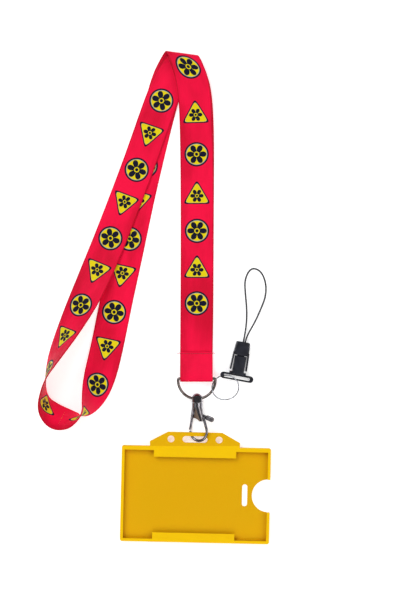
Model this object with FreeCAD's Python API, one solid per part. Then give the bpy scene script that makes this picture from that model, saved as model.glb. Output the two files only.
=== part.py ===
import FreeCAD, Part
import math
import os

os.makedirs("parts", exist_ok=True)
Vector = FreeCAD.Vector
up = Vector(0, 0, 1)

# Lanyard badge holder, laid flat. Millimetres, +Z up, +Y towards the top of the strap.
# The origin is the middle of the card holder's back face.

# Strap: one ribbon, whose two ends are sewn together round the D-ring's bar.
strap_width = 20.0
strap_thick = 0.8
# Its middle line: x, y, z, the compass direction of its side edge, and how far that edge is lifted.
# It starts at the flap's end and goes round the bar, up the back, over the top fold, down to the
# neck, where it stands on edge twice, and back over the top fold to the front.
strap_route = [
    (0.6, 87.6, 3.15, 0, 0),
    (0.6, 82.8, 3.6, 0, 0),
    (0.6, 76.2, 6.3, 0, 0),
    (0.6, 69.6, 6.95, 0, 0),
    (0.6, 69.6, 3.7, 0, 0),
    (0.6, 76.2, 2.4, 0, 0),
    (0.6, 88.0, 0.5, 0, 0),
    (1.0, 112.0, 0.6, 0, 0),
    (1.2, 160.0, 0.5, 0, 0),
    (1.5, 205.0, 0.6, 0, 0),
    (1.3, 226.0, 1.9, 0, 0),
    (0.6, 243.0, 3.6, -1, 0),
    (-1.6, 256.0, 5.3, -4, 0),
    (-5.6, 268.0, 6.0, -8, 0),
    (-9.4, 268.2, 2.1, -12, 0),
    (-14.6, 256.0, 1.8, -18, 0),
    (-21.2, 241.5, 1.7, -21, 0),
    (-33.2, 206.8, 1.8, -22, 0),
    (-44.8, 175.9, 1.7, -22, 0),
    (-56.0, 147.5, 1.6, -22, 2),
    (-66.6, 123.0, 4.0, -23, 19),
    (-76.8, 102.5, 7.9, -25, 43),
    (-86.2, 84.5, 10.4, -28, 65),
    (-92.4, 69.5, 11.3, 8, 90),
    (-93.3, 56.0, 9.7, 60, 121),
    (-86.0, 47.6, 7.7, 72, 140),
    (-76.0, 45.6, 9.6, 80, 122),
    (-69.6, 48.0, 11.1, 112, 90),
    (-65.0, 55.0, 9.2, 148, 58),
    (-60.8, 65.0, 5.9, 163, 32),
    (-57.6, 76.5, 2.4, 166, 9),
    (-54.2, 91.0, 0.6, 166, 0),
    (-49.0, 117.0, 0.5, 168, 0),
    (-41.8, 150.0, 0.6, 168, 0),
    (-35.4, 181.0, 0.5, 167, 0),
    (-27.9, 213.0, 0.6, 165, 0),
    (-21.9, 237.0, 0.5, 166, 0),
    (-16.8, 256.0, 0.6, 170, 0),
    (-11.0, 270.4, 0.8, 173, 0),
    (-6.4, 270.4, 7.7, 174, 0),
    (-2.8, 256.5, 6.9, 177, 0),
    (-0.8, 243.0, 5.2, 180, 0),
    (0.2, 226.0, 3.3, 180, 0),
    (0.8, 205.0, 2.0, 180, 0),
    (1.0, 160.0, 1.8, 180, 0),
    (0.8, 112.0, 1.9, 180, 0),
    (0.6, 90.0, 1.75, 180, 0),
    (0.6, 80.0, 2.9, 180, 0),
]
arc_step = 18.0
bend_share = 0.45

# Thread row across the flap's end.
seam_y = 86.4
seam_z = 3.65
thread_radius = 0.17
stitch_count = 13
stitch_pitch = 1.45
stitch_length = 0.85
tail_length = 1.6
tail_gap = 0.35
tail_drop = 0.2
tail_bow = 0.5
tail_fall = 0.7

# D-ring: its bar lies in the strap's loop, and its bow leans down to the hook's height.
d_x = 0.8
d_bar_y = 71.2
d_bar_z = 5.3
d_lean = 8.2
d_wire = 0.85
d_half = 11.4
d_leg = 1.2
d_corner = 0.9

# Hook: its long axis is parallel to Y, and the plane of its loop is turned about that axis.
axis_x = 1.0
axis_z = 3.5
loop_turn = 28.0

# Swivel eye and stud.
eye_radius = 3.4
eye_y = 58.73
eye_foot_y = 56.5
eye_half_thick = 2.95
eye_hole = 1.7
stud_radius = 1.2
stud_head_radius = 1.9
stud_end_y = 52.1
stud_sink = 0.2
stud_head_thick = 0.6

# Hook body: in the loop's plane, x is across, y is along the axis and z is the front.
collar_top = 56.2
collar_low = 54.0
collar_radius = 3.3
collar_ledge = 0.15
body_low = 45.0
body_half_width = 4.9
body_half_thick = 2.4
stud_bore = 1.25
head_room = (51.5, 52.9)
head_play = 0.2
pivot = (-0.8, 50.1)
panel = [(0.5, 53.4), (-1.7, 44.5), (3.4, 44.5)]
panel_depth = 0.4
arch = (-1.2, 43.0, 4.0)
lever_room = (3.6, 44.4, 51.7)
lever_room_front = -0.45
thumb_room_front = -0.55
gate_room = (-1.2, 48.4, 1.0)
gate_side_low = 46.3
spring_room = (1.6, 0.8)
beyond = 10.0

# Hook wire: arm, round bottom and nose.
wire_radius = 0.85
wire_front = 0.3
bow_centre = (1.35, 38.7)
bow_radius = 5.6
bow_start = 16.0
bow_end = -159.5
arm_top = (4.5, 47.6)
nose_length = 1.7

# Trigger lever, its pin and its spring.
lever_back = -1.35
lever_front = -0.65
pin_radius = 0.7
pin_ends = (-1.9, 2.85)
pin_head_radius = 1.1
pin_head_thick = 0.45
lever_bore = 0.75
hub_radius = 1.6
gate_top = (-3.5, 47.4)
gate_end = (-4.75, 39.65)
gate_heights = (-0.1, 0.2)
gate_radius = 0.8
gate_arm_radius = 0.85
thumb_arm_radius = 1.0
thumb_start = (6.5, 47.15)
thumb_end = (9.2, 46.15)
thumb_radius = 1.55
thumb_edge = 0.6
thumb_back = -2.9
thumb_front = -0.75
spring_radius = 1.15
spring_wire = 0.18
spring_pitch = 0.42
spring_turns = 1.9
spring_steps = 10
spring_low = -0.3

# Split ring: two turns of flat wire, leaning up to its lower right.
ring_centre = Vector(18.28, 65.81, 6.31)
ring_radius = 8.2
ring_pitch = 0.42
ring_turns = 1.96
ring_half_wide = 0.36
ring_half_thick = 0.18
ring_lean = 26.7
ring_lean_axis = 13.65
ring_end = -55.0

# Buckle: in its own frame, y is along the buckle, from the slotted bar to the cord.
buckle_place = Vector(25.35, 71.96, 2.93)
buckle_turn = -10.5
buckle_lean = 6.06
bar_length = 20.7
bar_width = 4.0
rail_thick = 1.1
back_rail_thick = 3.0
bar_slot_length = 16.4
bar_slot_width = 1.8
bar_slot_y = -0.1
back_rail_low = 0.85
plug_half_width = 3.6
plug_low = 1.4
plug_edge = 0.7
plug_thick = 4.6
plug_top = 13.2
shoulder_half_width = 5.1
shoulder_low = 1.0
shoulder_top = 3.3
tongue_half_width = 2.2
tongue_thick = 2.2
tongue_top = 17.2
cap_low = 13.6
cap_top = 22.0
cap_half_low = 4.9
cap_half_top = 4.15
cap_thick = 4.8
cap_edge = 0.9
cap_play = 0.15
arm_notch = 0.65
knuckle = (4.5, 14.9)
knuckle_radius = 0.5
knuckle_bore = 0.6
arm_end = (4.9, 4.8)
arm_half_thick = 0.45
arm_depth = 3.6
knot_y = 19.2
knot_low = 17.5
knot_radius = 1.6
knot_play = 0.25
cord_shift = 0.6
cord_hole = 1.2

# Loop cord, lying in a long loop on the table.
cord_radius = 0.5
cord_route = [
    (29.18, 92.26, 2.92),
    (30.1, 96.9, 2.85),
    (31.3, 104.5, 1.9),
    (31.6, 113.5, 0.8),
    (30.6, 123.5, 0.6),
    (30.2, 132.0, 0.7),
    (34.0, 139.2, 0.6),
    (40.0, 137.6, 0.7),
    (43.4, 130.0, 0.6),
    (43.2, 121.5, 0.7),
    (40.2, 113.8, 0.8),
    (36.4, 105.5, 1.9),
    (31.2, 96.7, 2.75),
    (30.22, 92.07, 2.81),
]

# Card holder: an open tray with a slotted tab, turned a little on the hook.
holder_turn = -1.3
holder_half_x = 45.7
holder_half_y = 29.3
holder_high = 5.0
floor_thick = 1.4
wall_side = 1.8
wall_top = 2.5
wall_low = 1.8
outer_corner = 1.2
lip_half = 25.2
lip_middle = -0.8
lip_reach = 4.0
lip_thick = 1.2
tab_middle = -1.0
tab_half_top = 16.6
tab_half_low = 27.6
tab_top = 38.25
tab_shoulder = 32.3
tab_back = 3.15
tab_root = 27.5
slot_half = 7.65
slot_radius = 1.95
slot_y = 33.85
hole_half_spacing = 14.75
hole_radius = 2.1
hole_y = 33.85
window = (30.2, 6.8, 1.6)
notch = (44.7, 10.1)


def tube(edges, radius):
    """A round rod along a path of tangent edges."""
    first = edges[0]
    start = first.valueAt(first.FirstParameter)
    ahead = first.tangentAt(first.FirstParameter)
    ring = Part.Wire(Part.makeCircle(radius, start, ahead))
    return Part.Wire(edges).makePipeShell([ring], True, False)


def bend(before, corner, after):
    """The arc that rounds a corner of a route: its two ends, its middle, its radius and its turn."""
    back = before - corner
    ahead = after - corner
    reach = bend_share * min(back.Length, ahead.Length)
    back.normalize()
    ahead.normalize()
    turn = math.pi - back.getAngle(ahead)
    radius = reach / math.tan(turn / 2)
    inward = back + ahead
    inward.normalize()
    middle = corner + inward * (radius / math.cos(turn / 2) - radius)
    return corner + back * reach, middle, corner + ahead * reach, radius, turn


def rod(start, end, radius):
    """A straight round rod between two points."""
    along = end - start
    return Part.makeCylinder(radius, along.Length, start, along)


def slab(low, high):
    """A box between two corners."""
    size = Vector(*high) - Vector(*low)
    return Part.makeBox(size.x, size.y, size.z, Vector(*low))


def plate(points, low, high):
    """A flat plate with a straight-sided outline, between two heights."""
    outline = Part.makePolygon([Vector(x, y, low) for x, y in points + points[:1]])
    return Part.Face(outline).extrude(Vector(0, 0, high - low))


def stadium(start, end, radius, low, high):
    """A flat link with round ends, between two heights."""
    a = Vector(start[0], start[1], low)
    b = Vector(end[0], end[1], low)
    side = (b - a).cross(up).normalize() * radius
    outer = [
        Part.LineSegment(a + side, b + side).toShape(),
        Part.Arc(b + side, b + (b - a).normalize() * radius, b - side).toShape(),
        Part.LineSegment(b - side, a - side).toShape(),
        Part.Arc(a - side, a + (a - b).normalize() * radius, a + side).toShape(),
    ]
    return Part.Face(Part.Wire(outer)).extrude(Vector(0, 0, high - low))


def oval(half_x, half_z, y):
    """An ellipse across the Y axis."""
    curve = Part.Ellipse(Vector(half_x, y, 0), Vector(0, y, half_z), Vector(0, y, 0))
    return Part.Wire(curve.toShape())


def in_loop(shape):
    """Moves a piece of the hook from the loop's plane to its place."""
    shape.rotate(Vector(0, 0, 0), Vector(0, 1, 0), -loop_turn)
    shape.translate(Vector(axis_x, 0, axis_z))
    return shape


def in_buckle(shape):
    """Moves a piece of the buckle from its own frame to its place."""
    shape.rotate(Vector(0, 0, 0), Vector(0, 1, 0), buckle_lean)
    shape.rotate(Vector(0, 0, 0), up, buckle_turn)
    shape.translate(buckle_place)
    return shape


def strap_sections():
    """The strap's middle points with the direction of its side edge, along its runs and arcs."""
    points = [Vector(*row[:3]) for row in strap_route]
    sides = []
    for row in strap_route:
        turn, lift = math.radians(row[3]), math.radians(row[4])
        flat = Vector(math.cos(turn), math.sin(turn), 0)
        sides.append(flat * math.cos(lift) + up * math.sin(lift))
    rows = [(points[0], sides[0])]
    radii = []
    for i in range(1, len(points) - 1):
        start, middle, end, radius, turn = bend(points[i - 1], points[i], points[i + 1])
        radii.append(radius)
        steps = max(2, math.ceil(math.degrees(turn) / arc_step))
        centre = middle + (middle - points[i]).normalize() * radius
        across = (start - centre).normalize()
        along = (points[i] - start).normalize()
        for k in range(steps + 1):
            share = 2 * k / steps - 1
            angle = turn * k / steps
            point = centre + (across * math.cos(angle) + along * math.sin(angle)) * radius
            other = sides[i - 1] if share < 0 else sides[i + 1]
            weight = abs(share) * bend_share
            rows.append((point, (sides[i] * (1 - weight) + other * weight).normalize()))
    rows.append((points[-1], sides[-1]))
    print("strap radii", " ".join(f"{r:.1f}" for r in radii))
    return rows


def strap():
    """A closed band of flat triangles with the strap's width and thickness."""
    rows = strap_sections()
    rings = []
    for i, (point, side) in enumerate(rows):
        ahead = rows[min(i + 1, len(rows) - 1)][0] - rows[max(i - 1, 0)][0]
        face = ahead.cross(side).normalize() * (strap_thick / 2)
        half = side * (strap_width / 2)
        rings.append([point - half - face, point + half - face, point + half + face, point - half + face])
    faces = []
    for a, b in zip(rings, rings[1:]):
        for k in range(4):
            n = (k + 1) % 4
            for corner in ([a[k], a[n], b[n]], [a[k], b[n], b[k]]):
                faces.append(Part.Face(Part.makePolygon(corner + corner[:1])))
    for end in (rings[0], rings[-1]):
        faces.append(Part.Face(Part.makePolygon([end[0], end[1], end[2], end[0]])))
        faces.append(Part.Face(Part.makePolygon([end[0], end[2], end[3], end[0]])))
    solid = Part.Solid(Part.Shell(faces))
    if solid.Volume < 0:
        solid.reverse()
    length = sum((b[0] - a[0]).Length for a, b in zip(rows, rows[1:]))
    share = solid.Volume / (length * strap_width * strap_thick)
    print(f"strap length {length:.1f}, volume share {share:.3f}")
    return solid


def seam():
    """The stitches, half sunk in the flap, and the two thread tails at its corners."""
    first = d_x - stitch_pitch * (stitch_count - 1) / 2
    pieces = []
    for k in range(stitch_count):
        middle = Vector(first + k * stitch_pitch, seam_y, seam_z)
        half = Vector(stitch_length / 2, 0, 0)
        stitch = rod(middle - half, middle + half, thread_radius)
        for end in (middle - half, middle + half):
            stitch = stitch.fuse(Part.makeSphere(thread_radius, end))
        pieces.append(stitch.removeSplitter())
    for side in (-1, 1):
        root = Vector(d_x + side * (strap_width / 2 + tail_gap), seam_y, seam_z - tail_drop)
        bow = root + Vector(side * tail_length * 0.6, tail_bow, -tail_drop)
        tip = root + Vector(side * tail_length, tail_drop, -tail_fall)
        pieces.append(tube([Part.Arc(root, bow, tip).toShape()], thread_radius))
    return Part.makeCompound(pieces)


def d_ring():
    """Wire ring: straight bar, two small corners, short legs and a half-round bow."""
    bow_y = d_bar_y - d_leg
    left, right = d_x - d_half, d_x + d_half
    slant = d_corner * (1 - math.sqrt(0.5))

    def at(x, y):
        return Vector(x, y, d_bar_z)

    edges = [
        Part.LineSegment(at(d_x, d_bar_y), at(right - d_corner, d_bar_y)).toShape(),
        Part.Arc(at(right - d_corner, d_bar_y), at(right - slant, d_bar_y - slant),
                 at(right, d_bar_y - d_corner)).toShape(),
        Part.LineSegment(at(right, d_bar_y - d_corner), at(right, bow_y)).toShape(),
        Part.Arc(at(right, bow_y), at(d_x, bow_y - d_half), at(left, bow_y)).toShape(),
        Part.LineSegment(at(left, bow_y), at(left, d_bar_y - d_corner)).toShape(),
        Part.Arc(at(left, d_bar_y - d_corner), at(left + slant, d_bar_y - slant),
                 at(left + d_corner, d_bar_y)).toShape(),
        Part.LineSegment(at(left + d_corner, d_bar_y), at(d_x, d_bar_y)).toShape(),
    ]
    ring = tube(edges, d_wire)
    ring.rotate(at(d_x, d_bar_y), Vector(1, 0, 0), d_lean)
    return ring


def swivel_eye():
    """Domed eye with a hole across it, and the stud that turns in the hook's collar."""
    axis = Vector(0, 1, 0)
    eye = Part.makeCylinder(eye_radius, eye_y - eye_foot_y, Vector(0, eye_foot_y, 0), axis)
    eye = eye.fuse(Part.makeSphere(eye_radius, Vector(0, eye_y, 0)))
    reach = 2 * eye_radius
    eye = eye.common(slab((-reach, eye_foot_y, -eye_half_thick), (reach, eye_y + reach, eye_half_thick)))
    eye = eye.cut(rod(Vector(-reach, eye_y, 0), Vector(reach, eye_y, 0), eye_hole))
    stud_length = eye_foot_y + stud_sink - stud_end_y
    stud = Part.makeCylinder(stud_radius, stud_length, Vector(0, stud_end_y, 0), axis)
    head = Part.makeCylinder(stud_head_radius, stud_head_thick, Vector(0, stud_end_y, 0), axis)
    whole = eye.fuse(stud).fuse(head).removeSplitter()
    whole.translate(Vector(axis_x, 0, axis_z))
    return whole


def hook_wire():
    """Arm, round bottom and nose of the hook, in the loop's plane."""
    centre = Vector(bow_centre[0], bow_centre[1], wire_front)

    def on_bow(angle):
        turn = math.radians(angle)
        return centre + Vector(math.cos(turn), math.sin(turn), 0) * bow_radius

    start, end = on_bow(bow_start), on_bow(bow_end)
    leaving = math.radians(bow_end)
    nose = end + Vector(math.sin(leaving), -math.cos(leaving), 0) * nose_length
    edges = [
        Part.LineSegment(Vector(arm_top[0], arm_top[1], wire_front), start).toShape(),
        Part.Arc(start, on_bow((bow_start + bow_end) / 2), end).toShape(),
        Part.LineSegment(end, nose).toShape(),
    ]
    return tube(edges, wire_radius).fuse(Part.makeSphere(wire_radius, nose))


def body_loft(sink):
    """The body's tapered round form, with its front and back sunk by that much."""
    top = oval(collar_radius - collar_ledge, collar_radius - collar_ledge - 0.05 - sink, collar_low)
    low = oval(body_half_width, body_half_thick - sink, body_low)
    return Part.makeLoft([top, low], True, True)


def hook_body():
    """Cast body: collar, tapered front shell with a sunk panel, and the hook wire."""
    axis = Vector(0, 1, 0)
    body = body_loft(0)
    collar = Part.makeCylinder(collar_radius, collar_top - collar_low, Vector(0, collar_low, 0), axis)
    body = body.fuse(collar)
    body = body.cut(plate(panel, 0, beyond).cut(body_loft(panel_depth)))
    arch_x, arch_y, arch_radius = arch
    body = body.cut(Part.makeCylinder(arch_radius, 2 * beyond, Vector(arch_x, arch_y, -beyond)))
    body = body.cut(slab((-beyond, arch_y, -beyond), (arch_x, gate_side_low, beyond)))
    body = body.fuse(hook_wire())
    room_right, room_low, room_top = lever_room
    gate_right, gate_room_top, gate_front = gate_room
    back_low = gate_end[1]
    body = body.cut(slab((-beyond, back_low, -beyond), (room_right, room_top, lever_room_front)))
    body = body.cut(slab((room_right, room_low, -beyond), (beyond, room_top, thumb_room_front)))
    body = body.cut(slab((-beyond, back_low, -beyond), (gate_right, gate_room_top, gate_front)))
    head_low, head_high = head_room
    head_reach = stud_head_radius + head_play
    body = body.cut(Part.makeCylinder(head_reach, head_high - head_low, Vector(0, head_low, 0), axis))
    body = body.cut(slab((-head_reach, head_low, -beyond), (head_reach, head_high, 0)))
    body = body.cut(Part.makeCylinder(stud_bore, collar_top - head_low, Vector(0, head_low, 0), axis))
    room_radius, room_front = spring_room
    body = body.cut(Part.makeCylinder(room_radius, beyond + room_front, Vector(*pivot, -beyond)))
    body = body.cut(Part.makeCylinder(pin_radius, 2 * beyond, Vector(*pivot, -beyond)))
    return in_loop(body.removeSplitter())


def trigger_lever():
    """Flat lever with a round hub, the gate rod on its left and the thumb pad on its right."""
    lever = stadium(pivot, gate_top, gate_arm_radius, lever_back, lever_front)
    lever = lever.fuse(stadium(pivot, thumb_start, thumb_arm_radius, lever_back, lever_front))
    hub = Part.makeCylinder(hub_radius, lever_front - lever_back, Vector(*pivot, lever_back))
    pad = stadium(thumb_start, thumb_end, thumb_radius, thumb_back, thumb_front)
    edges = [e for e in pad.Edges if abs(e.BoundBox.ZMin - e.BoundBox.ZMax) < 0.01]
    lever = lever.fuse([hub, pad.makeFillet(thumb_edge, edges)])
    gate_start = Vector(*gate_top, gate_heights[0])
    gate = rod(gate_start, Vector(*gate_end, gate_heights[1]), gate_radius)
    lever = lever.fuse([gate, Part.makeSphere(gate_radius, gate_start)])
    lever = lever.cut(Part.makeCylinder(lever_bore, 2 * beyond, Vector(*pivot, -beyond)))
    return in_loop(lever.removeSplitter())


def trigger_pin():
    """Pin through the body's front shell and the lever, with a flat head at the back."""
    back, front = pin_ends
    pin = Part.makeCylinder(pin_radius, front - back, Vector(*pivot, back))
    head = Part.makeCylinder(pin_head_radius, pin_head_thick, Vector(*pivot, back))
    return in_loop(pin.fuse(head).removeSplitter())


def trigger_spring():
    """Small coil round the pin."""
    points = []
    for k in range(round(spring_turns * spring_steps) + 1):
        angle = 2 * math.pi * k / spring_steps
        height = spring_low + spring_pitch * k / spring_steps
        across, down = math.cos(angle) * spring_radius, math.sin(angle) * spring_radius
        points.append(Vector(pivot[0] + across, pivot[1] + down, height))
    coil = Part.BSplineCurve()
    coil.interpolate(points)
    return in_loop(tube([coil.toShape()], spring_wire))


def split_ring():
    """Two turns of flat wire, side by side."""
    path = Part.makeHelix(ring_pitch, ring_pitch * ring_turns, ring_radius)
    middle = Vector(ring_radius, 0, 0)
    wide = Vector(ring_radius + ring_half_wide, 0, 0)
    section = Part.Ellipse(wide, Vector(ring_radius, 0, ring_half_thick), middle)
    coil = Part.Wire(path).makePipeShell([Part.Wire(section.toShape())], True, True)
    coil.translate(Vector(0, 0, -ring_pitch * ring_turns / 2))
    coil.rotate(Vector(0, 0, 0), up, ring_end)
    lean = math.radians(ring_lean_axis)
    coil.rotate(Vector(0, 0, 0), Vector(math.cos(lean), math.sin(lean), 0), -ring_lean)
    coil.translate(ring_centre)
    return coil


def buckle_plug():
    """Slotted bar, shoulders, body and the tongue that the cap holds."""
    end = (bar_length - bar_width) / 2
    bar = stadium((-end, 0), (end, 0), bar_width / 2, -rail_thick / 2, rail_thick / 2)
    half = bar_slot_length / 2 - bar_slot_width / 2
    slot = stadium((-half, bar_slot_y), (half, bar_slot_y), bar_slot_width / 2, -beyond, beyond)
    bar = bar.cut(slot)
    back = back_rail_thick / 2
    rail = slab((-end, back_rail_low, -back), (end, bar_width / 2, back))
    shoulder = slab((-shoulder_half_width, shoulder_low, -back), (shoulder_half_width, shoulder_top, back))
    body = slab((-plug_half_width, plug_low, -plug_thick / 2), (plug_half_width, plug_top, plug_thick / 2))
    body = body.makeFillet(plug_edge, [e for e in body.Edges if e.Length > plug_top / 2])
    tongue = slab((-tongue_half_width, plug_top - plug_low, -tongue_thick / 2),
                  (tongue_half_width, tongue_top, tongue_thick / 2))
    return in_buckle(bar.fuse([rail, shoulder, body, tongue]).removeSplitter())


def buckle_shell():
    """Cap over the tongue, with the cord's hole in its top and a notch for each arm."""
    outline = [(-cap_half_low, cap_low), (cap_half_low, cap_low), (cap_half_top, cap_top),
               (-cap_half_top, cap_top)]
    cap = plate(outline, -cap_thick / 2, cap_thick / 2)
    cap = cap.makeFillet(cap_edge, [e for e in cap.Edges if e.BoundBox.YMax > cap_low + 0.01])
    play = Vector(tongue_half_width + cap_play, 0, tongue_thick / 2 + cap_play)
    cap = cap.cut(slab((-play.x, plug_low, -play.z), (play.x, knot_y, play.z)))
    axis = Vector(0, 1, 0)
    knot_room = knot_radius + knot_play
    cap = cap.cut(Part.makeCylinder(knot_room, 2 * knot_radius, Vector(cord_shift, knot_low, 0), axis))
    cap = cap.cut(Part.makeCylinder(cord_hole, beyond, Vector(cord_shift, knot_y, 0), axis))
    for side in (-1, 1):
        x = side * knuckle[0]
        cap = cap.cut(Part.makeCylinder(knuckle_bore, 2 * beyond, Vector(x, knuckle[1], -beyond)))
        cap = cap.cut(slab((x - arm_notch, plug_low, -beyond), (x + arm_notch, knuckle[1], beyond)))
    return in_buckle(cap.removeSplitter())


def release_arm(side):
    """Squeeze arm: a round root in the cap's notch and a flat leaf down the plug's side."""
    low, high = -arm_depth / 2, arm_depth / 2
    root = (side * knuckle[0], knuckle[1])
    end = (side * arm_end[0], arm_end[1])
    leaf = stadium(root, end, arm_half_thick, low, high)
    leaf = leaf.fuse(Part.makeCylinder(knuckle_radius, arm_depth, Vector(root[0], root[1], low)))
    return in_buckle(leaf.removeSplitter())


def cord_knot():
    """The knot that is too large for the cap's hole."""
    return in_buckle(Part.makeSphere(knot_radius, Vector(cord_shift, knot_y, 0)))


def loop_cord():
    """Round cord along its route of straight runs and tangent arcs."""
    points = [Vector(*row) for row in cord_route]
    edges = []
    radii = []
    last = points[0]
    for i in range(1, len(points) - 1):
        start, middle, end, radius, turn = bend(points[i - 1], points[i], points[i + 1])
        edges.append(Part.LineSegment(last, start).toShape())
        edges.append(Part.Arc(start, middle, end).toShape())
        radii.append(radius)
        last = end
    edges.append(Part.LineSegment(last, points[-1]).toShape())
    cord = tube(edges, cord_radius)
    length = sum(e.Length for e in edges)
    share = cord.Volume / (length * math.pi * cord_radius ** 2)
    print("cord radii", " ".join(f"{r:.1f}" for r in radii))
    print(f"cord length {length:.1f}, volume share {share:.3f}")
    return cord


def card_holder():
    """Open tray with two retaining lips, a thumb notch, a window and the slotted tab."""
    tray = slab((-holder_half_x, -holder_half_y, 0), (holder_half_x, holder_half_y, holder_high))
    tray = tray.makeFillet(outer_corner, [e for e in tray.Edges if abs(e.Length - holder_high) < 0.01])
    inside = (-holder_half_x + wall_side, -holder_half_y + wall_low)
    across = (holder_half_x - wall_side, holder_half_y - wall_top)
    tray = tray.cut(slab((*inside, floor_thick), (*across, 2 * holder_high)))
    lip_low = lip_middle - lip_half
    lip_high = lip_middle + lip_half
    under = holder_high - lip_thick
    tray = tray.fuse(slab((lip_low, across[1] - lip_reach, under), (lip_high, across[1] + 1, holder_high)))
    tray = tray.fuse(slab((lip_low, inside[1] - 1, under), (lip_high, inside[1] + lip_reach, holder_high)))
    tab = plate([
        (tab_middle - tab_half_low, tab_root),
        (tab_middle + tab_half_low, tab_root),
        (tab_middle + tab_half_low, tab_shoulder),
        (tab_middle + tab_half_top, tab_top),
        (tab_middle - tab_half_top, tab_top),
        (tab_middle - tab_half_low, tab_shoulder),
    ], tab_back, holder_high)
    tray = tray.fuse(tab).removeSplitter()
    ends = slot_half - slot_radius
    left, right = (tab_middle - ends, slot_y), (tab_middle + ends, slot_y)
    tray = tray.cut(stadium(left, right, slot_radius, 0, beyond))
    for side in (-1, 1):
        spot = Vector(tab_middle + side * hole_half_spacing, hole_y, 0)
        tray = tray.cut(Part.makeCylinder(hole_radius, beyond, spot))
    x, half, radius = window
    tray = tray.cut(stadium((x, radius - half), (x, half - radius), radius, -beyond, beyond))
    tray = tray.cut(Part.makeCylinder(notch[1], 2 * beyond, Vector(notch[0], 0, -beyond)))
    tray.rotate(Vector(0, 0, 0), up, holder_turn)
    return tray


pieces = {
    "neck_strap": strap(),
    "seam_stitching": seam(),
    "d_ring": d_ring(),
    "swivel_eye": swivel_eye(),
    "hook_body": hook_body(),
    "trigger_lever": trigger_lever(),
    "trigger_pin": trigger_pin(),
    "trigger_spring": trigger_spring(),
    "split_ring": split_ring(),
    "buckle_plug": buckle_plug(),
    "buckle_shell": buckle_shell(),
    "release_arm_left": release_arm(-1),
    "release_arm_right": release_arm(1),
    "cord_knot": cord_knot(),
    "loop_cord": loop_cord(),
    "card_holder": card_holder(),
}
for name, shape in pieces.items():
    box = shape.BoundBox
    print(f"{name:18} valid {shape.isValid()} solids {len(shape.Solids)} volume {shape.Volume:9.1f}"
          f" z {box.ZMin:.2f} to {box.ZMax:.2f}")
    shape.exportStep(f"parts/{name}.step")
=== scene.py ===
import bmesh
import bpy
import math
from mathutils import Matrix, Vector


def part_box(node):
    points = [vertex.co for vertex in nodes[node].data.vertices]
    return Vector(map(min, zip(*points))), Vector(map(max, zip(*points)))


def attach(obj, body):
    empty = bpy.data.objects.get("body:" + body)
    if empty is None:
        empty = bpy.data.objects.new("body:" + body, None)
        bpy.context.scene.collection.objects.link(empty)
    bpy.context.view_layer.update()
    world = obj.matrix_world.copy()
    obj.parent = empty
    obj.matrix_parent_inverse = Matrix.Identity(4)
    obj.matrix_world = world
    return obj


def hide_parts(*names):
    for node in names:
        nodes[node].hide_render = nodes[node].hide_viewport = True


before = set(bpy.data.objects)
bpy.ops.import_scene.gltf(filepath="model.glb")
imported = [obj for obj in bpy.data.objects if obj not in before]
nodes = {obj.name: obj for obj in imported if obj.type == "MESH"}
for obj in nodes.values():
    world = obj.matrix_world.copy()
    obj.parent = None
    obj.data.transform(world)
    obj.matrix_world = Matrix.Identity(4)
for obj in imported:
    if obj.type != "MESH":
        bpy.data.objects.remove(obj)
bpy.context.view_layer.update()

# Lanyard badge holder, lying flat. Routes are in millimetres, everything that Blender gets is in metres.
mm = 0.001
scene = bpy.context.scene


# camera, straight above
overhead = {"middle": (3.1, 119.0), "height": 1.2, "lens": 116.9, "near": 0.05}
cameraData = bpy.data.cameras.new("overheadCamera")
cameraData.lens = overhead["lens"]
cameraData.clip_start = overhead["near"]
camera = bpy.data.objects.new("overheadCamera", cameraData)
camera.location = (overhead["middle"][0] * mm, overhead["middle"][1] * mm, overhead["height"])
scene.collection.objects.link(camera)
scene.camera = camera
print("camera ready")


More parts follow.
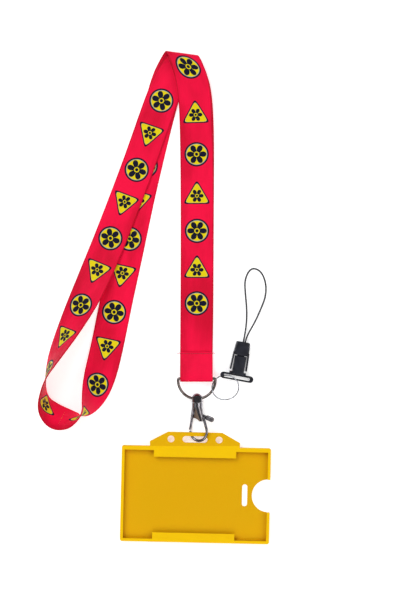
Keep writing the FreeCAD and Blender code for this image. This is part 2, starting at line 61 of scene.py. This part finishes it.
# helpers for material maths
class Field:
    def __init__(self, tree, socket=None):
        self.tree = tree
        self.socket = socket

    def node(self, kind, settings=None, inputs=None, out=0):
        made = self.tree.nodes.new(kind)
        for name, value in (settings or {}).items():
            setattr(made, name, value)
        for name, value in (inputs or {}).items():
            if isinstance(value, Field):
                self.tree.links.new(value.socket, made.inputs[name])
            else:
                made.inputs[name].default_value = value
        return Field(self.tree, made.outputs[out])

    def maths(self, operation, *values):
        return self.node("ShaderNodeMath", {"operation": operation}, dict(enumerate(values)))

    def __add__(self, other):
        return self.maths("ADD", self, other)

    def __sub__(self, other):
        return self.maths("SUBTRACT", self, other)

    def __rsub__(self, other):
        return self.maths("SUBTRACT", other, self)

    def __mul__(self, other):
        return self.maths("MULTIPLY", self, other)

    def __truediv__(self, other):
        return self.maths("DIVIDE", self, other)

    def __rtruediv__(self, other):
        return self.maths("DIVIDE", other, self)

    def __pow__(self, other):
        return self.maths("POWER", self, other)

    def __abs__(self):
        return self.maths("ABSOLUTE", self)

    __radd__ = __add__
    __rmul__ = __mul__

    def sine(self):
        return self.maths("SINE", self)

    def ease(self, low, high):
        # 0 below low, 1 above high, smooth between
        return self.node("ShaderNodeMapRange", {"interpolation_type": "SMOOTHSTEP"},
                         {"Value": self, "From Min": low, "From Max": high})

    def blend(self, first, second):
        # this field is the share of the second colour
        return self.node("ShaderNodeMix", {"data_type": "RGBA"}, {0: self, 6: first, 7: second}, 2)

    def choose(self, first, second):
        # this field is the share of the second number
        return self.node("ShaderNodeMix", {"data_type": "FLOAT"}, {0: self, 2: first, 3: second})

    def along(self, direction):
        return self.node("ShaderNodeVectorMath", {"operation": "DOT_PRODUCT"}, {0: self, 1: direction}, 1)

    def stretch(self, amounts):
        return self.node("ShaderNodeVectorMath", {"operation": "MULTIPLY"}, {0: self, 1: amounts})

    def noise(self, scale, detail=2.0, roughness=0.5):
        return self.node("ShaderNodeTexNoise", {}, {"Vector": self, "Scale": scale, "Detail": detail,
                                                    "Roughness": roughness})

    def cells(self, scale):
        return self.node("ShaderNodeTexVoronoi", {}, {"Vector": self, "Scale": scale})

    def bump(self, strength, distance):
        return self.node("ShaderNodeBump", {}, {"Strength": strength, "Distance": distance, "Height": self})


class Finish:
    # a material whose fixed values go straight on the shader
    def __init__(self, name, fixed):
        self.material = bpy.data.materials.new(name)
        self.material.use_nodes = True
        self.tree = self.material.node_tree
        self.shader = self.tree.nodes["Principled BSDF"]
        for key, value in fixed.items():
            self.shader.inputs[key].default_value = value
        self.place = Field(self.tree).node("ShaderNodeTexCoord", out=3)
        self.uv = Field(self.tree).node("ShaderNodeTexCoord", out=2)

    def feed(self, key, field):
        self.tree.links.new(field.socket, self.shader.inputs[key])


def split(vector):
    return vector.along((1, 0, 0)), vector.along((0, 1, 0)), vector.along((0, 0, 1))


# helpers for shapes
def splinePoints(name, route, steps):
    # points along the smooth spline that a route steers, in metres
    curve = bpy.data.curves.new(name, "CURVE")
    curve.dimensions = "3D"
    curve.resolution_u = steps
    spline = curve.splines.new("NURBS")
    spline.points.add(len(route) - 1)
    for point, spot in zip(spline.points, route):
        point.co = (spot[0] * mm, spot[1] * mm, spot[2] * mm, 1)
    spline.order_u = 3
    spline.use_endpoint_u = True
    carrier = bpy.data.objects.new(name, curve)
    scene.collection.objects.link(carrier)
    line = bpy.data.meshes.new_from_object(carrier)
    points = [v.co.copy() for v in line.vertices]
    bpy.data.objects.remove(carrier)
    bpy.data.curves.remove(curve)
    bpy.data.meshes.remove(line)
    return points


def runLengths(points):
    lengths = [0.0]
    for a, b in zip(points, points[1:]):
        lengths.append(lengths[-1] + (b - a).length)
    return lengths


def directions(points):
    last = len(points) - 1
    return [(points[min(i + 1, last)] - points[max(i - 1, 0)]).normalized() for i in range(len(points))]


def skin(name, rings, rows, material, closed=False):
    # a surface through rings of points, with a UV pair in millimetres for every point
    mesh = bpy.data.meshes.new(name)
    count = len(rings[0])
    faces = []
    pairs = []
    total = len(rings)
    for i in range(total if closed else total - 1):
        n = (i + 1) % total
        for k in range(count):
            m = (k + 1) % count
            faces.append((i * count + k, i * count + m, n * count + m, n * count + k))
            pairs += [rows[i][k], rows[i][m], rows[n][m], rows[n][k]]
    if not closed:
        faces.append(tuple(reversed(range(count))))
        pairs += [rows[0][k] for k in reversed(range(count))]
        faces.append(tuple((total - 1) * count + k for k in range(count)))
        pairs += [rows[-1][k] for k in range(count)]
    mesh.from_pydata([p for ring in rings for p in ring], [], faces)
    layer = mesh.uv_layers.new(name="flat")
    for loop, pair in zip(layer.data, pairs):
        loop.uv = pair
    mesh.shade_smooth()
    mesh.materials.append(material)
    made = bpy.data.objects.new(name, mesh)
    scene.collection.objects.link(made)
    return made


def tube(name, points, radius, sides, material, closed=False, flare=None):
    # a round rod along points; flare gives the share of the radius at each point
    ways = directions(points)
    if closed:
        ways = [(points[(i + 1) % len(points)] - points[i - 1]).normalized() for i in range(len(points))]
    side = ways[0].orthogonal().normalized()
    travelled = runLengths(points)
    rings = []
    rows = []
    for i, (point, way) in enumerate(zip(points, ways)):
        side = (side - way * side.dot(way)).normalized()
        other = way.cross(side)
        size = radius * (flare[i] if flare else 1)
        angles = [2 * math.pi * k / sides for k in range(sides)]
        rings.append([point + (side * math.cos(a) + other * math.sin(a)) * size for a in angles])
        rows.append([(a, travelled[i] / mm) for a in angles])
    return skin(name, rings, rows, material, closed)


softening = {"sharpFrom": 35, "segments": 3, "weldWithin": 0.002, "flatWithin": 0.6}


def softened(nodeName, pieceName, width, material):
    # the same moulding with its edges rounded, in place of the CAD node
    sharp = math.radians(softening["sharpFrom"])
    flat = math.radians(softening["flatWithin"])
    mesh = nodes[nodeName].data.copy()
    mesh.name = pieceName
    work = bmesh.new()
    work.from_mesh(mesh)
    bmesh.ops.remove_doubles(work, verts=work.verts, dist=softening["weldWithin"] * mm)
    bmesh.ops.dissolve_limit(work, angle_limit=flat, verts=work.verts, edges=work.edges)
    work.to_mesh(mesh)
    work.free()
    if "custom_normal" in mesh.attributes:
        mesh.attributes.remove(mesh.attributes["custom_normal"])
    mesh.materials.clear()
    mesh.materials.append(material)
    made = bpy.data.objects.new(pieceName, mesh)
    scene.collection.objects.link(made)
    mesh.shade_smooth()
    mesh.set_sharp_from_angle(angle=sharp)
    rounding = made.modifiers.new("rounding", "BEVEL")
    rounding.width = width * mm
    rounding.segments = softening["segments"]
    rounding.limit_method = "ANGLE"
    rounding.angle_limit = sharp
    rounding.harden_normals = True
    return made


# ribbon fabric
ribbonLook = {
    "red": (0.92, 0.0030, 0.052, 1), "deepRed": (0.50, 0.0004, 0.016, 1),
    "yellow": (0.76, 0.61, 0.004, 1), "navy": (0.004, 0.005, 0.020, 1), "pale": (0.34, 0.34, 0.31, 1),
    "neckAt": 464.4, "printFrom": 45.0, "printTo": 878.5,
    "firstMark": 249.2, "firstPitch": 22.52, "lastMark": 867.4, "lastPitch": 23.0,
    "frontFrom": 706.0, "frontPitch": 22.08, "frontDrift": 4.2e-6, "quiet": ((206.0, 239.0), (690.0, 712.0)),
    "badgeRadius": 7.5, "badgeEdge": 0.95, "paleLine": 0.42, "petalReach": 6.0,
    "triangleReach": 5.0, "triangleEdge": 0.65, "triangleCorner": 3.4, "triangleShift": 1.5,
    "smallPetal": 4.1, "petalCount": 6, "petalBlunt": 0.34, "eyeShare": 0.17, "gapShare": 0.26,
    "soft": 0.08, "step": 0.1,
    "cloudScale": (0.05, 0.018, 1), "streakScale": (3.0, 0.12, 1), "edgeShade": (9.1, 9.7),
    "warp": 17.5, "weft": 13.2, "rib": 2.9, "creaseScale": (0.35, 0.10, 1), "creaseHeight": 2.2,
    "selvedgeIn": (9.15, 9.4), "selvedgeOut": (9.6, 9.9), "rough": 0.40, "bump": (0.35, 0.09),
}


def ribbonFinish():
    look = ribbonLook
    finish = Finish("printedRibbon", {"Sheen Weight": 0.015, "Sheen Roughness": 0.4,
                                      "Specular IOR Level": 0.09})
    across, along, _ = split(finish.uv)
    step = look["step"]
    late = along.ease(look["neckAt"], look["neckAt"] + step)
    front = along.ease(look["frontFrom"], look["frontFrom"] + step)
    back = look["lastMark"] - along
    # the printing is stretched a little more the further it is from the sewn end
    drift = 1 - back * back * look["frontDrift"]
    count = late.choose((along - look["firstMark"]) / look["firstPitch"], back / look["lastPitch"])
    count = front.choose(count, back * drift / look["frontPitch"])
    whole = count.maths("ROUND", count)
    pitch = late.choose(look["firstPitch"], look["lastPitch"])
    pitch = front.choose(pitch, look["frontPitch"] / (drift * 3 - 2))
    run = (count - whole) * pitch
    odd = abs(whole.maths("MODULO", whole, 2.0)).ease(0.4, 0.6)
    soft = look["soft"]

    def inside(distance, reach):
        return 1 - distance.ease(reach - soft, reach + soft)

    def flower(x, y, reach):
        # six petals round a small eye
        radius = (x * x + y * y) ** 0.5
        turn = x.maths("ARCTAN2", y, x)
        swing = turn * (look["petalCount"] / 2)
        petal = abs(swing.maths("COSINE", swing)) ** look["petalBlunt"] * reach
        leaf = (radius - petal).ease(-soft, soft)
        eye = inside(radius, reach * look["eyeShare"])
        gap = radius.ease(reach * look["gapShare"], reach * look["gapShare"] + 2 * soft)
        return radius, eye.maths("MAXIMUM", eye, (1 - leaf) * gap)

    radius, roundFlower = flower(across, run, look["petalReach"])
    upper = run + look["triangleShift"]
    _, smallFlower = flower(across, upper, look["smallPetal"])
    slope = math.sin(math.radians(60))
    leftSide = upper * 0.5 - across * slope
    rightSide = upper * 0.5 + across * slope
    corner = leftSide.maths("SMOOTH_MAX", leftSide, rightSide, look["triangleCorner"])
    corner = corner.maths("SMOOTH_MAX", corner, 0 - upper, look["triangleCorner"])

    reach = odd.choose(look["badgeRadius"], look["triangleReach"])
    depth = reach - odd.choose(radius, corner)
    badge = depth.ease(-soft, soft)
    rimmed = depth - odd.choose(look["badgeEdge"], look["triangleEdge"])
    ring = rimmed.ease(-soft, soft)
    disc = (rimmed - odd.choose(look["paleLine"], 0.1)).ease(-soft, soft)
    figure = odd.choose(roundFlower, smallFlower)
    printed = along.ease(look["printFrom"], look["printFrom"] + step)
    printed = printed * (1 - along.ease(look["printTo"], look["printTo"] + step))
    for low, high in look["quiet"]:
        printed = printed * (1 - along.ease(low, low + step) * (1 - along.ease(high, high + step)))

    # patches and streaks of deeper red, and a darker edge; the broad patches are partly random tone and
    # partly painted shade, standing in for the light and shade across the ribbon's curves
    cloud = finish.uv.stretch(look["cloudScale"]).noise(1.0, 3.0)
    streak = finish.uv.stretch(look["streakScale"]).noise(1.0, 3.0)
    edge = abs(across).ease(*look["edgeShade"])
    shade = cloud.ease(0.3, 0.7) * 0.55 + streak * 0.25 + edge * 0.3
    ground = shade.ease(0.1, 1.0).blend(look["red"], look["deepRed"])
    colour = ring.blend(look["navy"], look["pale"])
    colour = disc.blend(colour, look["yellow"])
    colour = figure.blend(colour, look["navy"])
    colour = (badge * printed).blend(ground, colour)

    # satin weave: long floats across, in steps that climb along the ribbon
    warp = (across * look["warp"]).sine()
    weft = (along * look["weft"] + warp * 1.2).sine()
    rib = (along * look["rib"] + across * 0.5).sine() * 0.12
    crease = finish.uv.stretch(look["creaseScale"]).noise(1.0, 4.0) * look["creaseHeight"]
    selvedge = abs(across).ease(*look["selvedgeIn"]) * (1 - abs(across).ease(*look["selvedgeOut"]))
    height = warp * 0.22 + weft * 0.28 + rib + crease + selvedge * 1.4
    finish.feed("Base Color", colour)
    finish.feed("Roughness", (weft * 0.05 + streak * 0.22 + look["rough"]).ease(0.0, 1.0))
    finish.feed("Normal", height.bump(look["bump"][0], look["bump"][1] * mm))
    return finish.material


# strap
strap = {"width": 20.0, "thick": 0.78, "steps": 12, "exit": (0.6, 71.2, 5.3),
         "creaseFrom": 262.0, "creaseBlend": 22.0}
# x, y, z, compass direction of the side edge, and how far that edge is lifted
strapRoute = [
    (0.6, 87.6, 3.15, 0, 0), (0.6, 82.8, 3.6, 0, 0), (0.6, 76.2, 6.3, 0, 0), (0.6, 69.6, 6.95, 0, 0),
    (0.6, 69.6, 3.7, 0, 0), (0.6, 76.2, 2.4, 0, 0), (0.6, 88.0, 0.5, 0, 0), (1.0, 112.0, 0.6, 0, 0),
    (1.2, 160.0, 0.5, 0, 0), (1.5, 205.0, 0.6, 0, 0), (1.3, 226.0, 1.9, 0, 0), (0.4, 243.0, 3.6, -1, 0),
    (-2.2, 256.0, 5.2, -4, 0), (-7.2, 266.8, 5.8, -8, 0), (-8.4, 267.0, 2.3, -9, 0),
    (-14.8, 256.0, 1.8, -16, 0), (-21.2, 241.5, 1.7, -21, 0), (-33.2, 206.8, 1.8, -22, 0),
    (-44.8, 175.9, 1.7, -22, 0), (-56.0, 147.5, 1.6, -22, 2), (-66.6, 123.0, 4.0, -23, 19),
    (-76.8, 102.5, 7.9, -25, 43), (-86.2, 84.5, 10.4, -28, 65), (-92.4, 69.5, 11.3, 8, 90),
    (-93.3, 56.0, 9.7, 60, 121), (-86.0, 47.6, 7.7, 72, 140), (-76.0, 45.6, 9.6, 80, 122),
    (-69.6, 48.0, 11.1, 112, 90), (-65.0, 55.0, 9.2, 148, 58), (-60.8, 65.0, 5.9, 163, 32),
    (-57.6, 76.5, 2.4, 166, 9), (-54.2, 91.0, 0.6, 166, 0), (-49.0, 117.0, 0.5, 168, 0),
    (-41.8, 150.0, 0.6, 168, 0), (-35.4, 181.0, 0.5, 167, 0), (-27.9, 213.0, 0.6, 165, 0),
    (-21.9, 237.0, 0.5, 166, 0), (-16.6, 256.0, 0.6, 166, 0), (-9.4, 270.2, 0.8, 172, 0),
    (-7.6, 270.4, 7.5, 172.6, 0), (-2.6, 257.5, 7.1, 176, 0), (-0.3, 243.0, 5.3, 179, 0),
    (0.4, 226.0, 3.3, 180, 0), (0.8, 205.0, 2.0, 180, 0), (1.0, 160.0, 1.8, 180, 0),
    (0.8, 112.0, 1.9, 180, 0), (0.6, 90.0, 1.75, 180, 0), (0.6, 80.0, 2.9, 180, 0),
]


def sideOf(row):
    turn, lift = math.radians(row[3]), math.radians(row[4])
    return Vector((math.cos(turn) * math.cos(lift), math.sin(turn) * math.cos(lift), math.sin(lift)))


def makeStrap(material):
    middle = splinePoints("strapMiddle", [row[:3] for row in strapRoute], strap["steps"])
    edgeRoute = [Vector(row[:3]) + sideOf(row) * strap["width"] / 2 for row in strapRoute]
    edge = splinePoints("strapEdge", edgeRoute, strap["steps"])
    travelled = runLengths(middle)
    # the ribbon's outline: shares of its half width and half thickness, full along the two selvedges
    half = [-1, -0.992, -0.975, -0.94, -0.8, -0.55, -0.28, 0, 0.28, 0.55, 0.8, 0.94, 0.975, 0.992, 1]
    swell = [0, 0.6, 0.88, 1.0, 0.97, 0.95, 0.95, 0.95, 0.95, 0.95, 0.97, 1.0, 0.88, 0.6, 0]
    outline = list(zip(half, swell)) + [(h, -s) for h, s in list(zip(half, swell))[-2:0:-1]]
    rings = []
    rows = []
    for point, rim, way, run in zip(middle, edge, directions(middle), travelled):
        side = rim - point
        # near the top folds the cross lines stay parallel to the crease
        square = min(1, max(0, (strap["creaseFrom"] - point.y / mm) / strap["creaseBlend"]))
        side = (side - way * side.dot(way) * square).normalized()
        face = way.cross(side).normalized()
        width, thick = strap["width"] / 2 * mm, strap["thick"] / 2 * mm
        rings.append([point + side * (width * a) + face * (thick * h) for a, h in outline])
        rows.append([(a * strap["width"] / 2, run / mm) for a, h in outline])
    made = skin("neckStrap", rings, rows, material)
    return made, middle, travelled[-1]


ribbon, ribbonMiddle, ribbonLength = makeStrap(ribbonFinish())
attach(ribbon, "strap")
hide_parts("neck_strap")
print("strap", round(ribbonLength, 4), "m")


# thread row and its tails
threadLook = {"colour": (0.58, 0.004, 0.025, 1), "dark": (0.20, 0.002, 0.012, 1), "radius": 0.16,
              "pitch": 1.45, "count": 13, "y": 86.4, "z": 3.62, "x": 0.6, "sides": 8,
              "tailFrom": 9.75,
              "tail": ((0, 0, -0.1), (0.6, 0.5, 0.05), (1.3, 0.35, -0.3), (1.9, -0.1, -0.7))}


def threadFinish():
    finish = Finish("sewingThread", {"Specular IOR Level": 0.4, "Sheen Weight": 0.2})
    around, along, _ = split(finish.uv)
    ply = (around * 2 + along * 9.0).sine()
    fuzz = finish.uv.stretch((2.0, 5.0, 1)).noise(1.0, 3.0)
    # painted light and shade: the plies are lighter on their ridges and darker in the grooves between them,
    # mixed with random fuzz tone
    fuzzAndRidgeLight = (ply * 0.3 + fuzz).ease(0.1, 0.9)
    finish.feed("Base Color", fuzzAndRidgeLight.blend(threadLook["dark"], threadLook["colour"]))
    finish.feed("Roughness", fuzz * 0.2 + 0.5)
    finish.feed("Normal", (ply + fuzz).bump(0.6, 0.04 * mm))
    return finish.material


def makeStitches(material):
    look = threadLook
    parts = []
    first = look["x"] - look["pitch"] * (look["count"] - 1) / 2
    for k in range(look["count"]):
        x = first + look["pitch"] * k
        # every stitch wanders a little, so the row isn't ruler straight
        rise = 0.03 * math.sin(2.4 * k)
        arch = ((-0.66, 0.06, -0.34), (-0.6, 0.04, 0.02), (0, rise, 0.12),
                (0.6, -0.04, 0.02), (0.66, -0.06, -0.34))
        route = [(x + a, look["y"] + b, look["z"] + c) for a, b, c in arch]
        line = splinePoints("stitch", route, 5)
        parts.append(tube("stitch", line, look["radius"] * mm, look["sides"], material))
    for side in (-1, 1):
        x = look["x"] + side * look["tailFrom"]
        route = [(x + side * a, look["y"] + b, look["z"] + c) for a, b, c in look["tail"]]
        line = splinePoints("tail", route, 8)
        parts.append(tube("tail", line, look["radius"] * mm, look["sides"], material))
    with bpy.context.temp_override(active_object=parts[0], selected_editable_objects=parts, object=parts[0],
                                   selected_objects=parts):
        bpy.ops.object.join()
    parts[0].name = "seamThread"
    return parts[0]


thread = makeStitches(threadFinish())
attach(thread, "strap")
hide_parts("seam_stitching")


# loop cord and its knot
cord = {"radius": 0.5, "steps": 14, "sides": 14,
        "colour": (0.012, 0.012, 0.014, 1), "fuzzAndRidgeLight": (0.05, 0.05, 0.055, 1),
        "strands": 4, "lay": 5.2, "knotSize": 0.38, "knotRadius": 0.42, "knotSteps": 60, "knotSides": 12}
cordRoute = [
    (29.18, 92.26, 2.92), (30.1, 96.9, 2.85), (31.3, 104.5, 1.9), (31.6, 113.5, 0.8), (30.6, 123.5, 0.6),
    (30.2, 132.0, 0.7), (34.0, 139.2, 0.6), (40.0, 137.6, 0.7), (43.4, 130.0, 0.6), (43.2, 121.5, 0.7),
    (40.2, 113.8, 0.8), (36.4, 105.5, 1.9), (31.2, 96.7, 2.75), (30.22, 92.07, 2.81),
]


def cordFinish():
    finish = Finish("braidedCord", {"Specular IOR Level": 0.4, "Sheen Weight": 0.15})
    around, along, _ = split(finish.uv)
    over = (around * cord["strands"] + along * cord["lay"]).sine()
    under = (around * cord["strands"] - along * cord["lay"]).sine()
    braid = over.maths("MAXIMUM", over, under)
    fuzz = finish.uv.stretch((1.5, 6.0, 1)).noise(1.0, 3.0)
    # painted light and shade: the braid is lighter where its strands rise and darker between them, mixed
    # with random fuzz tone
    finish.feed("Base Color", (braid * 0.45 + fuzz * 0.6).ease(0.1, 1.1).blend(cord["colour"], cord["fuzzAndRidgeLight"]))
    finish.feed("Roughness", fuzz * 0.25 + 0.42)
    finish.feed("Normal", (braid + fuzz * 0.4).bump(0.8, 0.08 * mm))
    return finish.material


cordMaterial = cordFinish()
cordLine = splinePoints("loopCordLine", cordRoute, cord["steps"])
loopCord = tube("loopCord", cordLine, cord["radius"] * mm, cord["sides"], cordMaterial)
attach(loopCord, "buckle_cap")
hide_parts("loop_cord")
knotLow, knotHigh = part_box("cord_knot")
knotMiddle = (knotLow + knotHigh) / 2
knotLine = []
for step in range(cord["knotSteps"]):
    # an overhand knot, closed on itself
    angle = 2 * math.pi * step / cord["knotSteps"]
    spot = Vector((math.sin(angle) + 2 * math.sin(2 * angle), math.cos(angle) - 2 * math.cos(2 * angle),
                   -math.sin(3 * angle)))
    knotLine.append(knotMiddle + spot * cord["knotSize"] * mm)
cordKnot = tube("cordKnot", knotLine, cord["knotRadius"] * mm, cord["knotSides"], cordMaterial, closed=True)
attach(cordKnot, "buckle_cap")
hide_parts("cord_knot")
round(runLengths(cordLine)[-1], 4)
print("cords ready")


# metals
metals = {
    "nickel": {"light": (0.42, 0.42, 0.44, 1), "dark": (0.16, 0.16, 0.17, 1), "rough": 0.16},
    "duskNickel": {"light": (0.20, 0.18, 0.17, 1), "dark": (0.07, 0.055, 0.05, 1), "rough": 0.15},
    "darkNickel": {"light": (0.30, 0.29, 0.32, 1), "dark": (0.09, 0.075, 0.07, 1), "rough": 0.16},
    "spring": {"light": (0.55, 0.55, 0.55, 1), "dark": (0.30, 0.29, 0.28, 1), "rough": 0.28},
    "bronze": (0.26, 0.17, 0.11, 1), "stainScale": 420.0, "grainScale": 2600.0, "scratchScale": 5200.0,
    "castBump": 0.10, "drawnBump": 0.08, "bumpDepth": 0.05, "leverEdge": 0.14,
    "panelTop": 53.4, "loopTurn": 28.0, "loopPlace": (1.0, 0.0, 3.5),
}


def metalFinish(name, look, cast):
    finish = Finish(name, {"Metallic": 1.0})
    stain = finish.place.noise(metals["stainScale"], 4.0)
    grain = finish.place.noise(metals["grainScale"], 2.0)
    scratch = finish.place.stretch((1, 0.12, 1)).noise(metals["scratchScale"], 2.0)
    tone = (stain * 0.8 + grain * 0.3).ease(0.35, 0.8).blend(look["light"], look["dark"])
    rough = stain * 0.16 + scratch * 0.08 + look["rough"] - 0.08
    height = stain * (1.4 if cast else 0.35) + scratch * 0.12 + grain * (0.3 if cast else 0.1)
    if cast:
        # the sunk panel on the body's front is warmer and duller
        turn = math.radians(metals["loopTurn"])
        middle = metals["loopPlace"]
        across = (finish.place.along((math.cos(turn), 0, math.sin(turn))) / mm
                  - (middle[0] * math.cos(turn) + middle[2] * math.sin(turn)))
        down = metals["panelTop"] - finish.place.along((0, 1, 0)) / mm
        front = (finish.place.along((-math.sin(turn), 0, math.cos(turn))) / mm
                 - (-middle[0] * math.sin(turn) + middle[2] * math.cos(turn))).ease(0.6, 1.2)
        panel = down.ease(0.1, 0.5) * (1 - down.ease(8.0, 9.6)) * front
        panel = panel * (across + down * 0.25 - 0.5).ease(-0.15, 0.15)
        panel = panel * (down * 0.33 + 0.5 - across).ease(-0.15, 0.15)
        tone = (panel * 0.8).blend(tone, metals["bronze"])
        rough = rough + panel * 0.14
    finish.feed("Base Color", tone)
    finish.feed("Roughness", rough)
    strength = metals["castBump"] if cast else metals["drawnBump"]
    finish.feed("Normal", height.bump(strength, metals["bumpDepth"] * mm))
    return finish.material


def dress(material, *names):
    for name in names:
        data = nodes[name].data
        data.materials.clear()
        data.materials.append(material)


nickel = metalFinish("nickelWire", metals["nickel"], False)
hookMetal = metalFinish("castHookMetal", metals["darkNickel"], True)
springSteel = metalFinish("springSteel", metals["spring"], False)
dress(metalFinish("duskNickelWire", metals["duskNickel"], False), "d_ring")
dress(nickel, "split_ring")
dress(hookMetal, "swivel_eye", "hook_body", "trigger_pin")
dress(springSteel, "trigger_spring")
lever = softened("trigger_lever", "triggerLever", metals["leverEdge"], hookMetal)
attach(lever, "lever")
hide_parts("trigger_lever")
print("metal parts ready")


# black release buckle
buckleLook = {"colour": (0.004, 0.0045, 0.008, 1), "sheen": (0.010, 0.012, 0.022, 1), "rough": 0.30,
              "grainScale": 3800.0, "cloudScale": 260.0, "pitScale": 2400.0, "bump": (0.25, 0.03)}


def blackFinish():
    finish = Finish("blackPlastic", {"Specular IOR Level": 0.42})
    grain = finish.place.noise(buckleLook["grainScale"], 3.0)
    cloud = finish.place.noise(buckleLook["cloudScale"], 3.0)
    pits = finish.place.cells(buckleLook["pitScale"])
    mottle = (cloud * 0.7 + grain * 0.3).ease(0.3, 0.75)
    finish.feed("Base Color", mottle.blend(buckleLook["colour"], buckleLook["sheen"]))
    finish.feed("Roughness", cloud * 0.16 + grain * 0.1 + buckleLook["rough"] - 0.12)
    finish.feed("Normal", (grain + pits * 0.5).bump(buckleLook["bump"][0], buckleLook["bump"][1] * mm))
    return finish.material


blackPlastic = blackFinish()
# CAD node, piece, body and edge rounding
for nodeName, pieceName, body, width in (
    ("buckle_plug", "bucklePlug", "buckle_plug", 0.22),
    ("buckle_shell", "buckleCap", "buckle_cap", 0.12),
    ("release_arm_left", "releaseArmLeft", "arm_left", 0.14),
    ("release_arm_right", "releaseArmRight", "arm_right", 0.14),
):
    piece = softened(nodeName, pieceName, width, blackPlastic)
    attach(piece, body)
    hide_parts(nodeName)
print("buckle ready")


# yellow card holder
holderLook = {
    "rim": (0.90, 0.55, 0.0, 1), "floor": (0.72, 0.385, 0.0, 1), "corner": (0.58, 0.21, 0.0, 1),
    "marks": ((22.5, -17.6), (-23.0, -16.6), (22.5, 15.5), (-23.0, 16.2)), "markRadius": 1.9,
    "tabFrom": 29.6, "tabFade": 0.6, "rimFrom": 3.0, "rimTo": 4.8, "nookReach": 7.0, "edge": 0.35,
    "cloudScale": 55.0, "flowScale": 160.0, "grainScale": 3000.0, "rough": 0.30, "bump": (0.4, 0.08),
}


def holderFinish():
    look = holderLook
    finish = Finish("yellowPlastic", {"Specular IOR Level": 0.10, "Subsurface Weight": 0.08,
                                      "Subsurface Radius": (0.004, 0.002, 0.0005), "Subsurface Scale": 0.5})
    x, y, z = split(finish.place)
    cloud = finish.place.noise(look["cloudScale"], 3.0)
    flow = finish.place.stretch((0.3, 1.0, 1.0)).noise(look["flowScale"], 4.0)
    grain = finish.place.noise(look["grainScale"], 2.0)
    # painted light and shade: the raised rim is lighter and the sunk floor and the tab are darker, set by
    # height
    tab = y.ease(look["tabFrom"] * mm, (look["tabFrom"] + look["tabFade"]) * mm)
    raised = z.ease(look["rimFrom"] * mm, look["rimTo"] * mm) * (1 - tab * 0.8)
    colour = raised.blend(look["floor"], look["rim"])
    # painted shade: the ambient occlusion node darkens the colour towards orange in corners and along the
    # walls
    reach = {"Distance": look["nookReach"] * mm}
    nookShade = finish.place.node("ShaderNodeAmbientOcclusion", {"samples": 8}, reach, 1)
    colour = ((1 - nookShade.ease(0.10, 0.70)) * 0.7).blend(colour, look["corner"])
    colour = (flow.ease(0.3, 0.7) * 0.1 + cloud.ease(0.3, 0.7) * 0.08).blend(colour, look["floor"])
    height = grain * 0.12 + flow * 0.7
    for spotX, spotY in look["marks"]:
        # faint rings left by the mould's pins
        offX, offY = x / mm - spotX, y / mm - spotY
        away = (offX * offX + offY * offY) ** 0.5
        height = height + away.ease(look["markRadius"] - 0.2, look["markRadius"] + 0.1) * 0.5
    finish.feed("Base Color", colour)
    finish.feed("Roughness", cloud * 0.12 + grain * 0.08 + look["rough"])
    finish.feed("Normal", height.bump(look["bump"][0], look["bump"][1] * mm))
    return finish.material


holder = softened("card_holder", "cardHolder", holderLook["edge"], holderFinish())
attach(holder, "holder")
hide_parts("card_holder")
print("card holder ready")


# table and light
table = {"size": 3.0, "middle": (0, 0.12, 0), "colour": (0.93, 0.93, 0.93, 1), "rough": 0.8, "lift": 0.48}
floorMesh = bpy.data.meshes.new("tableTop")
reach = table["size"] / 2
corners = [(-reach, -reach, 0), (reach, -reach, 0), (reach, reach, 0), (-reach, reach, 0)]
floorMesh.from_pydata(corners, [], [(0, 1, 2, 3)])
floor = bpy.data.objects.new("tableTop", floorMesh)
scene.collection.objects.link(floor)
floorFinish = Finish("paleTable", {"Base Color": table["colour"], "Roughness": table["rough"],
                                   "Emission Color": table["colour"], "Emission Strength": table["lift"]})
floorMesh.materials.append(floorFinish.material)

lights = {
    "keyLight": {"at": (-0.55, 0.75, 1.1), "size": 0.9, "power": 9.5, "tint": (0.92, 0.96, 1.0)},
    "fillLight": {"at": (0.8, 0.0, 0.9), "size": 0.8, "power": 3.6, "tint": (1.0, 0.97, 0.94)},
    "frontLight": {"at": (-0.1, -0.6, 0.9), "size": 0.7, "power": 3.0, "tint": (1.0, 0.98, 0.95)},
}
for name, look in lights.items():
    data = bpy.data.lights.new(name, "AREA")
    data.size = look["size"]
    data.energy = look["power"]
    data.color = look["tint"]
    lamp = bpy.data.objects.new(name, data)
    lamp.location = look["at"]
    lamp.rotation_euler = (Vector(table["middle"]) - Vector(look["at"])).to_track_quat("-Z", "Y").to_euler()
    scene.collection.objects.link(lamp)

# a dark horizon, a bright ring above it and a dim patch overhead, which give the metals their lines
studio = {"horizon": (0.06, 0.06, 0.07, 1), "bright": (1.0, 1.0, 1.0, 1), "overhead": (0.12, 0.12, 0.13, 1),
          "brightRise": (0.30, 0.62), "overheadRise": (0.88, 0.95), "strength": 0.62}
sky = bpy.data.worlds.new("studio")
sky.use_nodes = True
scene.world = sky
backdrop = sky.node_tree.nodes["Background"]
upward = Field(sky.node_tree).node("ShaderNodeTexCoord", out=0).along((0, 0, 1))
glow = upward.ease(*studio["brightRise"]).blend(studio["horizon"], studio["bright"])
glow = upward.ease(*studio["overheadRise"]).blend(glow, studio["overhead"])
sky.node_tree.links.new(glow.socket, backdrop.inputs["Color"])
backdrop.inputs["Strength"].default_value = studio["strength"]
scene.view_settings.view_transform = "Standard"
print("table and light ready")
